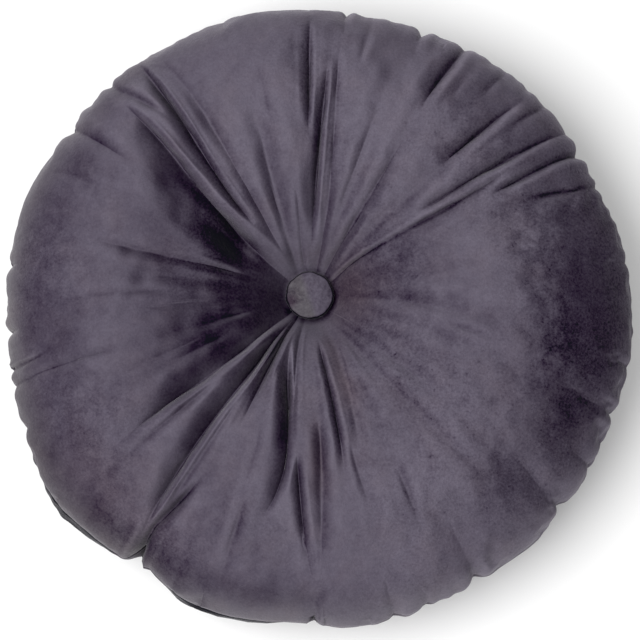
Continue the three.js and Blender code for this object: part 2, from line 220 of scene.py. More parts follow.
def rimOffset(angle):
    # where a ray from the tuft meets the outline: a circle about the origin, pushed out by the swells
    turn = np.radians(angle)
    tuftX, tuftY = cushionShape["tuft"]
    radius = cushionShape["diameter"] / 2
    along = np.cos(turn) * tuftX + np.sin(turn) * tuftY
    distance = -along + np.sqrt(radius ** 2 - tuftX ** 2 - tuftY ** 2 + along ** 2)
    x = tuftX + distance * np.cos(turn)
    y = tuftY + distance * np.sin(turn)
    bearing = np.degrees(np.arctan2(y, x))
    stretch = 1 + swellAt(swells, bearing) / radius
    return x * stretch - tuftX, y * stretch - tuftY, bearing


def dome(share):
    # (1 - share^fullness)^(1 / roundness), 1 in the middle and 0 at the seam
    return np.maximum(0, 1 - share ** cushionShape["fullness"]) ** (1 / cushionShape["roundness"])


def faceHeight(side, share, length, angle=0):
    # seam height + side * (rise * dome - hollow) + crown. The hollow round the tuft falls off as a stretched
    # exponential, depth * exp(-(distance / reach)^sharpness).
    depth, reach, sharpness = cushionShape["frontHollow" if side > 0 else "backHollow"]
    rise = cushionShape["frontRise" if side > 0 else "backDrop"]
    if side > 0:
        centre, width, longer = cushionShape["longerSide"]
        reach = reach + longer * bell(wrapped(angle - centre), width)
        centre, width, place, along, height = cushionShape["farCrown"]
        crown = height * bell(wrapped(angle - centre), width) * bell(share * length - place, along)
        crown = crown * smoothStep(1, cushionShape["crownFade"], share)
    else:
        crown = 0
    distance = np.maximum(0, share * length - cushionShape["seatRadius"])
    hollow = depth * np.exp(-((distance / reach) ** sharpness))
    if side > 0:
        depth, reach, sharpness = cushionShape["funnel"]
        hollow = hollow + depth * np.exp(-((distance / reach) ** sharpness))
    return cushionShape["seamHeight"] + side * (rise * dome(share) - hollow) + crown


def valley(fold, angle, distance, softer=0):
    # a fold's cross-section: 1 on its floor, rising ever more gently to 0, then a low ridge beside it
    offset = distance * np.radians(wrapped(angle - foldAngle(fold, distance)))
    width = np.where(offset < 0, fold["before"], fold["after"])
    least, full = cushionShape["flareFrom"]
    width = width * (np.maximum(distance, least) / full) ** fold["flare"]
    q = np.abs(offset) / width
    rounding = (cushionShape["creaseRounding"] + softer) / width
    q = np.hypot(q, rounding) - rounding
    ridge, place, ridgeWidth = cushionShape["ridge"]
    return np.maximum(0, 1 - q) ** cushionShape["flankPower"] - ridge * bell(q - place, ridgeWidth)


def foldDepth(folds, angle, distance):
    # the sum of the folds, each fading in and out
    depth = np.zeros_like(distance)
    lead, base, perDepth, out = cushionShape["foldRamp"]
    more, low, high = cushionShape["valleyRounding"]
    for fold in folds:
        if fold["depth"] > 0:
            ramp = base + perDepth * fold["depth"]
            fade = smoothStep(fold["start"] - lead, fold["start"] + ramp, distance)
            fade = fade * (1 - smoothStep(fold["end"] - out, fold["end"] + out, distance))
            softer = more * smoothStep(low, high, min(fold["before"], fold["after"]))
            depth += fold["depth"] * fade * valley(fold, angle, distance, softer)
    return depth


def puckerDepth(folds, angle, distance, fromSeam, lengthening):
    # the sum of the puckers, each fading out with the cloth's length from the seam
    depth = np.zeros_like(distance)
    for fold in folds:
        if fold["notch"] > 0:
            fade = 1 - smoothStep(0, 1, fromSeam / (fold["reach"] * lengthening))
            depth += fold["notch"] * fade * valley(fold, angle, distance)
    return depth


def ripples(points, length, shift=0, count=24):
    # an uneven field that spreads about 1 either way: waves of nearly this length in random directions
    random = np.random.default_rng(clothUnevenness["seed"] + shift)
    directions = random.normal(size=(count, 3))
    directions /= np.linalg.norm(directions, axis=1, keepdims=True)
    total = np.zeros(points.shape[:-1])
    for direction in directions:
        turns = points @ direction / (length * random.uniform(0.7, 1.6)) + random.uniform()
        total += np.sin(2 * np.pi * turns)
    return total * np.sqrt(2 / count)


def columnLines(folds, count):
    # each column is the number of the fold before it plus its share of the way to the next fold
    middles = np.array([fold["middle"] for fold in folds])
    gaps = np.diff(np.append(middles, middles[0] + 360))
    lines = []
    for number, gap in enumerate(gaps):
        steps = max(3, round(count * gap / 360))
        even = np.arange(steps) / steps
        share = even - cushionShape["gathering"] * np.sin(2 * np.pi * even) / (2 * np.pi)
        lines.append(number + share)
    return np.concatenate(lines), gaps


def ringTable(count):
    # rings at even lengths of cloth from the front tuft, over the seam and in to the back tuft
    length = cushionShape["diameter"] / 2
    inner = cushionShape["seatRadius"] * cushionShape["firstRing"] / length
    fineSteps = 1500
    turn = np.linspace(0, np.pi / 2, fineSteps)
    share = inner + (1 - inner) * np.sin(turn)
    paths = []
    for side in (1, -1):
        height = faceHeight(side, share, length)
        if side < 0:
            height = np.maximum(height, 0)
        steps = np.hypot(np.diff(share) * length, np.diff(height))
        paths.append(np.concatenate([[0], np.cumsum(steps)]))
    front, back = paths
    frontCount = round(count * cushionShape["frontRings"])
    power = cushionShape["ringSpread"]
    frontLengths = front[-1] * np.sin(np.linspace(0, 1, frontCount) * np.pi / 2) ** power
    backLengths = back[-1] * np.sin(np.linspace(1, 0, count - frontCount + 1)[1:] * np.pi / 2) ** power
    shares = np.concatenate([np.interp(frontLengths, front, share), np.interp(backLengths, back, share)])
    sides = np.concatenate([np.ones(frontCount), -np.ones(count - frontCount)])
    fromSeam = np.concatenate([front[-1] - frontLengths, back[-1] - backLengths])
    along = np.concatenate([frontLengths, front[-1] + back[-1] - backLengths])
    return {"share": shares, "side": sides, "fromSeam": fromSeam, "along": along}


def cushionGrid(folds, columnCount, ringCount, extraFolds=()):
    # points of the un-simulated cushion on a grid of columns by rings, with what later steps need to know
    lines, gaps = columnLines(folds, columnCount)
    allFolds = folds + list(extraFolds)
    rings = ringTable(ringCount)
    share = np.broadcast_to(rings["share"], (len(lines), ringCount))
    side = np.broadcast_to(rings["side"], share.shape)
    fromSeam = np.broadcast_to(rings["fromSeam"], share.shape)
    number = lines.astype(int)
    part = (lines - number)[:, None]
    ringDistance = rings["share"] * cushionShape["diameter"] / 2
    table = np.array([foldAngle(fold, ringDistance) for fold in folds])
    table = np.vstack([table, table[:1] + 360])
    angle = table[number] * (1 - part) + table[number + 1] * part

    offsetX, offsetY, bearing = rimOffset(angle)
    length = np.hypot(offsetX, offsetY)
    outX, outY = offsetX / length, offsetY / length
    angle = np.degrees(np.arctan2(offsetY, offsetX))
    distance = share * length

    front = side > 0
    height = np.where(front, faceHeight(1, share, length, angle), faceHeight(-1, share, length))
    step = 0.002  # the profile's slope is taken over this share either way
    inner, outer = np.maximum(0, share - step), np.minimum(1, share + step)
    rise = np.where(front, faceHeight(1, outer, length, angle) - faceHeight(1, inner, length, angle),
                    faceHeight(-1, inner, length) - faceHeight(-1, outer, length))
    run = (outer - inner) * length
    lean = -rise / np.hypot(rise, run)  # the smooth profile's normal, along out and away from the middle
    level = run / np.hypot(rise, run)
    lean = np.where(share > 0.9999, 1, lean)
    level = np.where(share > 0.9999, 0, level)

    tuftX, tuftY = cushionShape["tuft"]
    smooth = np.stack([tuftX + outX * distance, tuftY + outY * distance, height], axis=-1)
    waver, waverLength = clothUnevenness["waver"]
    wavering = angle + np.degrees(waver * ripples(smooth, waverLength, 1) / np.maximum(distance, 30))
    uneven, unevenLength = clothUnevenness["foldDepth"]
    unevenness = np.clip(1 + uneven * ripples(smooth, unevenLength, 2), *clothUnevenness["depthRange"])

    lobe = np.sin(np.pi * part) ** 2 * np.minimum(1, gaps[number] / cushionShape["lobeGap"])[:, None] ** 2
    start, full, end = cushionShape["lobeSpan"]
    lift = cushionShape["lobeRise"] * lobe * smoothStep(start, full, share) * (1 - smoothStep(end, 1, share))
    sink = foldDepth(allFolds, wavering, distance) * unevenness * front
    pucker = np.where(front, puckerDepth(allFolds, angle, distance, fromSeam, 1),
                      puckerDepth(allFolds, angle, distance, fromSeam, cushionShape["backPuckers"]))
    pinch = cushionShape["seamPinch"] * bell(height - cushionShape["seamHeight"], cushionShape["pinchHeight"])
    start, full, end = cushionShape["bulgeSpan"]
    overhang = swellAt(backBulges, bearing)
    bulge = overhang * (1 - smoothStep(end, 1, share)) * smoothStep(start, full, share) * ~front
    tuck, tuckPlace, tuckLength = cushionShape["tuck"]
    bulge = bulge - tuck * overhang * bell(fromSeam - tuckPlace, tuckLength) * front

    move = lift * front - sink - pucker
    radial = distance + lean * move - pinch + bulge
    points = np.stack([tuftX + outX * radial, tuftY + outY * radial,
                       np.maximum(0, height + side * level * move)], axis=-1)
    return {"points": points, "lines": lines, "rings": rings, "angle": angle, "distance": distance,
            "bearing": bearing, "fromSeam": fromSeam, "side": side, "sink": sink + pucker, "relief": move}


def gridFaces(columnCount, ringCount):
    # quads between neighbouring columns and rings, and a fan to a point at each end
    column = np.arange(columnCount)[:, None]
    nextColumn = (column + 1) % columnCount
    ring = np.arange(ringCount - 1)[None, :]
    quads = np.stack([column * ringCount + ring, column * ringCount + ring + 1,
                      nextColumn * ringCount + ring + 1, nextColumn * ringCount + ring], axis=-1)
    quads = quads.reshape(-1, 4)
    first, last = columnCount * ringCount, columnCount * ringCount + 1
    column, nextColumn = column[:, 0], nextColumn[:, 0]
    frontFan = np.stack([np.full(columnCount, first), column * ringCount, nextColumn * ringCount], axis=-1)
    backFan = np.stack([np.full(columnCount, last), nextColumn * ringCount + ringCount - 1,
                        column * ringCount + ringCount - 1], axis=-1)
    return quads, np.vstack([frontFan, backFan])


def meshFromGrid(name, points):
    # points is columns by rings by 3, in millimetres
    columnCount, ringCount = points.shape[:2]
    ends = np.array([points[:, 0].mean(0), points[:, -1].mean(0)])
    vertices = np.vstack([points.reshape(-1, 3), ends]) * mm
    quads, triangles = gridFaces(columnCount, ringCount)
    mesh = bpy.data.meshes.new(name)
    mesh.vertices.add(len(vertices))
    mesh.vertices.foreach_set("co", vertices.ravel())
    mesh.loops.add(quads.size + triangles.size)
    mesh.loops.foreach_set("vertex_index", np.concatenate([quads.ravel(), triangles.ravel()]))
    starts = np.concatenate([np.arange(len(quads)) * 4, quads.size + np.arange(len(triangles)) * 3])
    mesh.polygons.add(len(starts))
    mesh.polygons.foreach_set("loop_start", starts)
    mesh.update(calc_edges=True)
    mesh.validate()
    mesh.polygons.foreach_set("use_smooth", np.ones(len(starts), dtype=bool))
    return mesh


def gridNormals(mesh, shape):
    # the mesh's normals on its grid, without those of the two end points
    normals = np.empty(len(mesh.vertices) * 3, dtype=np.float32)
    mesh.vertex_normals.foreach_get("vector", normals)
    return normals.reshape(-1, 3)[:shape[0] * shape[1]].reshape(shape[0], shape[1], 3)


def addPiece(name, mesh):
    piece = bpy.data.objects.new(name, mesh)
    bpy.context.scene.collection.objects.link(piece)
    return piece


fillingShape = {
    "columns": 300,
    "rings": 88,
    "pressure": 14,
    "frames": 20,
    "quality": 6,
    "stretching": 5,  # stiffnesses
    "shearing": 2,
    "bending": 0.5,
    "farthest": 4.5,  # millimetres that a point may move
    "heldInFold": (0.6, 2.5),  # depths that the hold grows over
    "heldBySeam": (1, 5),  # and distances that it fades over
    "heldByTuft": (22, 34),
    "heldByFloor": (0.2, 1.5),
    "heldSteps": 20,
}


def heldShare(grid):
    # 1 where thread, seam, floor or a fold's floor holds the cloth, 0 where it is free
    held = smoothStep(*fillingShape["heldInFold"], grid["sink"])
    holders = (("heldBySeam", grid["fromSeam"]), ("heldByTuft", grid["distance"]),
               ("heldByFloor", grid["points"][..., 2]))
    for name, length in holders:
        held = np.maximum(held, 1 - smoothStep(*fillingShape[name], length))
    return held


def swellFilling(folds):
    # blows the cloth up from inside with Blender's cloth, and gives how far each grid point moved
    coarse = cushionGrid(folds, fillingShape["columns"], fillingShape["rings"])
    shape = coarse["points"].shape
    trial = addPiece("fillingTrial", meshFromGrid("fillingTrial", coarse["points"]))
    pins = trial.vertex_groups.new(name="held")
    steps = fillingShape["heldSteps"]
    levels = np.append(np.round(heldShare(coarse).ravel() * steps) / steps, [1, 1])
    for level in np.unique(levels):
        pins.add(np.nonzero(levels == level)[0].tolist(), float(level), "REPLACE")
    cloth = trial.modifiers.new("filling", "CLOTH")
    settings = cloth.settings
    settings.use_pressure = True
    settings.uniform_pressure_force = fillingShape["pressure"]
    settings.vertex_group_mass = "held"
    settings.effector_weights.gravity = 0
    settings.quality = fillingShape["quality"]
    settings.tension_stiffness = fillingShape["stretching"]
    settings.compression_stiffness = fillingShape["stretching"]
    settings.shear_stiffness = fillingShape["shearing"]
    settings.bending_stiffness = fillingShape["bending"]
    cloth.collision_settings.use_self_collision = False
    cloth.collision_settings.use_collision = False
    cloth.point_cache.frame_start = 1
    cloth.point_cache.frame_end = fillingShape["frames"]
    for number in range(1, fillingShape["frames"] + 1):
        bpy.context.scene.frame_set(number)
    result = trial.evaluated_get(bpy.context.evaluated_depsgraph_get()).to_mesh()
    found = np.empty(len(result.vertices) * 3, dtype=np.float32)
    result.vertices.foreach_get("co", found)
    found = found.reshape(-1, 3)[:shape[0] * shape[1]].reshape(shape) / mm
    bpy.context.scene.frame_set(1)
    bpy.data.objects.remove(trial)
    move = found - coarse["points"]
    length = np.linalg.norm(move, axis=-1, keepdims=True)
    move = move * np.minimum(1, fillingShape["farthest"] / np.maximum(length, 1e-6))
    return coarse, move


def spread(table, fromPlaces, toPlaces, period=None):
    # linear interpolation of the table's first axis
    if period:
        fromPlaces = np.append(fromPlaces, fromPlaces[0] + period)
        table = np.concatenate([table, table[:1]])
    index = np.clip(np.searchsorted(fromPlaces, toPlaces, side="right") - 1, 0, len(fromPlaces) - 2)
    share = (toPlaces - fromPlaces[index]) / (fromPlaces[index + 1] - fromPlaces[index])
    share = np.clip(share, 0, 1)[:, None, None]
    return table[index] * (1 - share) + table[index + 1] * share


def finerRelief(grid):
    # lumps of filling, gathers by the seam and the seam's groove, as heights above the cloth
    points = grid["points"]
    least, whole = clothUnevenness["lumpsOnFloor"]
    free = least + (1 - least) * smoothStep(0, whole, points[..., 2])
    free = free * smoothStep(*clothUnevenness["lumpsFrom"], grid["distance"])
    lumps = enumerate(clothUnevenness["lumps"])
    height = sum(size * ripples(points, length, 3 + number) for number, (size, length) in lumps)
    size, reach = clothUnevenness["gathers"]
    bearing = np.arctan2(points[..., 1], points[..., 0])
    waves = sum(np.sin(count * bearing + count) for count in clothUnevenness["gatherCounts"]) / 2
    mean, spreading, length, most = clothUnevenness["gatherPatches"]
    drawn = np.clip(mean + spreading * ripples(points, length, 9), 0, most)
    gathers = size * waves * drawn * bell(grid["fromSeam"], reach)
    depth, width = clothUnevenness["seamGroove"]
    return height * free + gathers - depth * bell(grid["fromSeam"], width)


folds = named(foldRows)
grid = cushionGrid(folds, cushionShape["columns"], cushionShape["rings"], named(fineFoldRows))
coarse, move = swellFilling(folds)
print("filling swelled: free points moved up to %.1f mm" % np.linalg.norm(move, axis=-1).max())
move = spread(move, coarse["lines"], grid["lines"], period=len(folds))
move = move.transpose(1, 0, 2)
move = spread(move, coarse["rings"]["along"], grid["rings"]["along"]).transpose(1, 0, 2)
grid["points"] = grid["points"] + move
grid["points"][..., 2] = np.maximum(0, grid["points"][..., 2])
smoothMesh = meshFromGrid("smoothCushion", grid["points"])
relief = finerRelief(grid)
grid["points"] = grid["points"] + gridNormals(smoothMesh, relief.shape) * relief[..., None]
grid["points"][..., 2] = np.maximum(0, grid["points"][..., 2])
bpy.data.meshes.remove(smoothMesh)
cushion = addPiece("velvetCushion", meshFromGrid("velvetCushion", grid["points"]))
print("cushion shaped:", len(cushion.data.vertices), "points")

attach(cushion, "root")
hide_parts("cushion")


def setAttribute(mesh, name, values):
    # values is one number a grid point; the two end points take the mean of their ring
    flat = np.concatenate([values.ravel(), [values[:, 0].mean(), values[:, -1].mean()]])
    mesh.attributes.new(name, "FLOAT", "POINT").data.foreach_set("value", flat.astype(np.float32))


velvetLook = {
    "paintedLitColour": (0.0856, 0.0738, 0.1006),  # the lit colour, where the pile shows its tips and the painted shade is least
    "paintedShadeColour": (0.0150, 0.0085, 0.0215),  # the colour of the deepest painted shade, where one looks down into the pile
    "warmTint": (1.12, 1.0, 0.9),
    # painted grey sheen: the tint round the rim and on the button's lit side
    "paintedSheenTint": (0.96, 1.02, 0.84),
    "tipsRange": (0.2, 1),  # the shares of the tips at which the cloth has its painted shade colour and its lit colour
    "warmPatches": (45, 0.45, 0.8),  # how fine, less this, times this
    "paintedRimSheen": (0.4, 12, 32),  # painted sheen round the front's rim: how much, and the lengths from the seam it fades over
    "rimGaps": [(-6, 27, 1), (248, 32, 0.85)],  # where there is less of it: angle, degrees, how much less
    "paintedRimSheenGrey": (12, 46, 198, 82),  # painted grey sheen round the left of the rim: lengths from the seam it fades over, its middle's angle and degrees
    "pileAndPaintedShadeBearing": 15,  # the pile leans this way, and the cloth is painted darkest where it faces it, as shade on slopes turned from the key lamp
    "evening": (0.04, 1.5),  # the lean up the face at which the painted shade by lean is kept whole, and how fast it is evened out away from there
    "patchSize": 26,
    "patchStrength": 0.13,
    "mottling": 0.36,
    "handling": (150, 0.24),  # smaller marks of hands: how fine, how strong
    "handled": (0.12, 0.6, -60, 130),  # how much at the left, how much more at the right, the places between
    "handledPatches": (0.22, 80),
    "specks": (330, 0.3),
    "speckEdge": (7, -4.3),
    "crests": (8, 1.2),  # columns either side that a crest stands above, and the height that counts in full
    # painted highlight on crests and painted shade in creases
    "paintedCrestHighlight": 0.16,
    "paintedCreaseShade": 0.16,
    "paintedFoldFloorShade": (38, 24, 0.4),  # painted shade on the floors of the folds that run with the pile: angle, degrees, how much
    "paintedUnderShade": (0.3, 0.05, -0.25, -0.97, -0.8),  # painted shade below the seam: how much, how far the cloth faces down
    # painted shade in the seam: how much, and the length from the seam it fades over
    "paintedSeamShade": (0.5, 1.2),
    "paintedTuftRingShade": (0.6, 16.2, 1),  # painted shade in the narrow gap round the button: how much, radius and width
    "paintedBulgeShade": (0.8, 6, 14),  # painted shade where the back bulges out: how much, distance from the seam, length
    "grain": (620, 1.1),
    "sheen": 0.28,
    "bump": (0.45, 0.0007),
}

# How much of the pile's tips shows, by how far the cloth leans to the right: painted shade by which way the
# cloth faces, darkest on slopes turned from the key lamp, and partly the pile's lean
tipsAndPaintedShadeByLean = [(-0.7, 0.34), (-0.55, 0.42), (-0.4, 0.55), (-0.2, 0.82), (0, 1), (0.1, 0.98), (0.2, 0.76),
            (0.3, 0.52), (0.4, 0.36), (0.55, 0.24), (0.7, 0.2)]

# Areas of the cloth: angle and distance from the tuft, how many degrees and how many millimetres each fades
# over, and how much
areaColumns = ("angle", "distance", "degrees", "length", "amount")
# A browner tint right of the tuft and in two folds below it, and on the front by the rim at the lower left
warmAreas = [(5, 26, 45, 16, 1), (290, 62, 6, 28, 0.7), (272.5, 108, 3, 24, 0.7)]
warmRim = [(226, 180, 16, 22, 0.45)]
# The part that hands have marked most
handledAreas = [(322, 150, 26, 40, 0.3)]
# Areas of painted shade and painted light on the tuft's hollow, the folds and the rim, among patches of
# brushed pile. The amount is how much more of the tips shows.
paintedLightAndBrushedAreas = [
    (188, 75, 28, 42, -0.3),
    (148, 52, 13, 30, -0.2),
    (182, 120, 30, 36, -0.05),
    (208, 88, 11, 34, -0.25),
    (198, 162, 9, 14, -0.15),
    (352, 160, 20, 20, -0.28),
    (15, 130, 14, 24, 0.16),
    (70, 118, 22, 55, 0.17),
    (112, 100, 18, 40, 0.12),
    (159, 94, 6, 24, -0.22),
    (176.7, 93, 4, 13, 0.2),
    (188, 84, 6, 14, 0.3),
    (171, 82, 4, 18, -0.22),
    (217, 98, 4.5, 26, -0.3),
    (236.6, 44, 6, 14, -0.55),
    (309.7, 177, 5, 13, -0.26),
    (333, 177, 6, 13, -0.26),
    (345, 188, 14, 11, -0.22),
    (351.8, 66, 6, 14, -0.16),
    (28.4, 101, 2.4, 26, -0.2),
    (29.5, 141, 3.4, 16, 0.2),
    (70, 158, 7, 13, 0.22),
    (149.5, 165, 6, 12, -0.22),
    (316, 166, 7, 14, -0.12),
    (261, 180, 4, 12, -0.18),
    (330, 162, 6, 13, 0.22),
    (206, 157, 8, 14, 0.13),
    (184, 190, 22, 11, 0.24),
    (46, 184, 30, 17, 0.32),
    (131, 183, 7, 8, -0.26),
    (343, 158, 5, 10, -0.2),
    (155, 112, 5, 15, -0.16),
    (230, 172, 3, 10, -0.1),
    (305, 34, 24, 18, -0.15),
    (300, 150, 20, 30, 0.1),
    (141.5, 100, 4.5, 22, -0.34),
    (197, 60, 6, 8, -0.2),
    (208, 76, 4, 9, -0.18),
    (33.4, 83, 2.2, 26, 0.18),
    (148, 116, 3.6, 14, 0.16),
    (33.9, 118, 2.6, 15, -0.28),
    (88.1, 92, 1.9, 20, -0.34),
    (78.3, 84, 1.6, 20, 0.12),
    (232.4, 118, 4, 32, -0.26),
    (238.4, 165, 2, 22, -0.34),
    (230, 191, 7, 9, -0.2),
    (256, 194, 22, 9, -0.34),
    (259, 101, 3, 18, -0.2),
    (254.6, 38, 6, 13, 0.4),
    (308, 92, 3, 18, -0.18),
    (318, 48, 6, 11, -0.16),
    (349.6, 114, 4, 9, -0.18),
    (43.6, 170, 4, 13, 0.2),
    (141, 38, 8, 10, -0.18),
    (220.5, 108, 3.5, 13, -0.18),
    (294, 154, 3, 12, -0.16),
    (296, 100, 7, 16, -0.13),
    (127, 98, 2.4, 26, -0.24),
]


def areaSum(grid, rows):
    # the sum over the areas of amount * bell of the angle * bell of the distance
    total = np.zeros_like(grid["distance"])
    for row in rows:
        area = dict(zip(areaColumns, row))
        across = bell(wrapped(grid["angle"] - area["angle"]), area["degrees"])
        total += area["amount"] * across * bell(grid["distance"] - area["distance"], area["length"])
    return total


def crestShare(grid, relief):
    # 1 on a crest and -1 in a crease: the relief less its mean over the neighbouring columns
    height = grid["relief"] + relief
    reach, fullHeight = velvetLook["crests"]
    padded = np.concatenate([height[-reach:], height, height[:reach]])
    sums = np.cumsum(np.vstack([np.zeros_like(padded[:1]), padded]), axis=0)
    mean = (sums[2 * reach + 1:] - sums[:-2 * reach - 1]) / (2 * reach + 1)
    return np.clip((height - mean) / fullHeight, -1, 1)


def paintedRimSheen(grid):
    # painted sheen round the rim of the front, as more of the tips showing, and less so in the gaps
    strength, near, far = velvetLook["paintedRimSheen"]
    share = 1 - smoothStep(near, far, grid["fromSeam"])
    for angle, degrees, less in velvetLook["rimGaps"]:
        share = share * (1 - less * bell(wrapped(grid["angle"] - angle), degrees))
    return strength * share * (grid["side"] > 0)


def paintedSheenGreyShare(grid):
    # painted grey sheen round the left half of the rim
    near, far, angle, degrees = velvetLook["paintedRimSheenGrey"]
    share = 1 - smoothStep(near, far, grid["fromSeam"])
    return share * bell(wrapped(grid["angle"] - angle), degrees)


def handledShare(grid):
    # how far hands have marked the pile: more to the right, more in its areas, and in patches
    least, more, left, right = velvetLook["handled"]
    strength, length = velvetLook["handledPatches"]
    handled = least + more * smoothStep(left, right, grid["points"][..., 0]) + areaSum(grid, handledAreas)
    return np.clip(handled + strength * ripples(grid["points"], length, 21), 0, 1.1)


def shadeShare(grid, faceUp, crest):
    # painted shade, as less of the tips showing: below the seam, in it, in the gap round the button, where the
    # back bulges out, and on the floors of the folds that run with the pile
    strength, start, full, end, gone = velvetLook["paintedUnderShade"]
    shade = strength * smoothStep(start, full, faceUp) * smoothStep(end, gone, faceUp)
    strength, length = velvetLook["paintedSeamShade"]
    shade = shade + strength * bell(grid["fromSeam"], length)
    strength, radius, width = velvetLook["paintedTuftRingShade"]
    shade = shade + strength * bell(grid["distance"] - radius, width)
    strength, place, length = velvetLook["paintedBulgeShade"]
    bulge = swellAt(backBulges, grid["bearing"]) * bell(grid["fromSeam"] - place, length)
    shade = shade + strength * bulge * (grid["side"] < 0)
    angle, degrees, strength = velvetLook["paintedFoldFloorShade"]
    along = bell(wrapped(grid["angle"] - angle), degrees)
    return shade + strength * along * np.maximum(0, -crest) * (grid["side"] > 0)


def paintPile(mesh, grid, relief):
    # the numbers that the velvet's material reads, one set a point, with the painted shade, highlights and
    # sheen among them
    normals = gridNormals(mesh, grid["distance"].shape)
    x, y, z = normals[..., 0], normals[..., 1], normals[..., 2]
    turn = math.radians(velvetLook["pileAndPaintedShadeBearing"])
    front = grid["side"] > 0
    crest = crestShare(grid, relief)
    # painted light and shade: the areas, plus the rim's painted sheen, less the painted shade
    paintedLightAndBrushing = areaSum(grid, paintedLightAndBrushedAreas) * front + paintedRimSheen(grid) - shadeShare(grid, z, crest)
    setAttribute(mesh, "tiltRight", x * math.cos(turn) + y * math.sin(turn))
    setAttribute(mesh, "tiltUp", y * math.cos(turn) - x * math.sin(turn))
    setAttribute(mesh, "crest", crest)
    setAttribute(mesh, "paintedLightAndBrushing", paintedLightAndBrushing)
    setAttribute(mesh, "paintedSheenGrey", paintedSheenGreyShare(grid))
    setAttribute(mesh, "handled", handledShare(grid))
    setAttribute(mesh, "warmth", np.clip(areaSum(grid, warmAreas) + areaSum(grid, warmRim) * front, 0, 1))


paintPile(cushion.data, grid, relief)


def addSocket(group, name, kind, direction, value=None):
    # a named socket of a node group, with its value where nothing is linked
    socket = group.interface.new_socket(name=name, in_out=direction, socket_type=kind)
    if value is not None:
        socket.default_value = value
    return socket


def mathNode(tree, operation, first, second=None, third=None, clamp=False):
    # each of the three is a number or an output to link
    node = tree.nodes.new("ShaderNodeMath")
    node.operation = operation
    node.use_clamp = clamp
    for k, value in enumerate((first, second, third)):
        if value is None:
            continue
        if isinstance(value, (int, float)):
            node.inputs[k].default_value = value
        else:
            tree.links.new(value, node.inputs[k])
    return node.outputs[0]


def noiseNode(tree, vector, scale, detail=2.0, roughness=0.5, distortion=0.0):
    # noise about 0.5, where the scale is a number or an output to link
    node = tree.nodes.new("ShaderNodeTexNoise")
    tree.links.new(vector, node.inputs["Vector"])
    if isinstance(scale, (int, float)):
        node.inputs["Scale"].default_value = scale
    else:
        tree.links.new(scale, node.inputs["Scale"])
    node.inputs["Detail"].default_value = detail
    node.inputs["Roughness"].default_value = roughness
    node.inputs["Distortion"].default_value = distortion
    return node.outputs["Fac"]


def mixColours(tree, blend, factor, first, second, clamp=True):
    # the first colour where the factor is 0, and where it is 1 the second, or their product for MULTIPLY
    node = tree.nodes.new("ShaderNodeMix")
    node.data_type = "RGBA"
    node.blend_type = blend
    node.clamp_factor = clamp
    tree.links.new(factor, node.inputs["Factor"])
    for socket, colour in ((6, first), (7, second)):
        if isinstance(colour, tuple):
            node.inputs[socket].default_value = (*colour, 1)
        else:
            tree.links.new(colour, node.inputs[socket])
    return node.outputs[2]


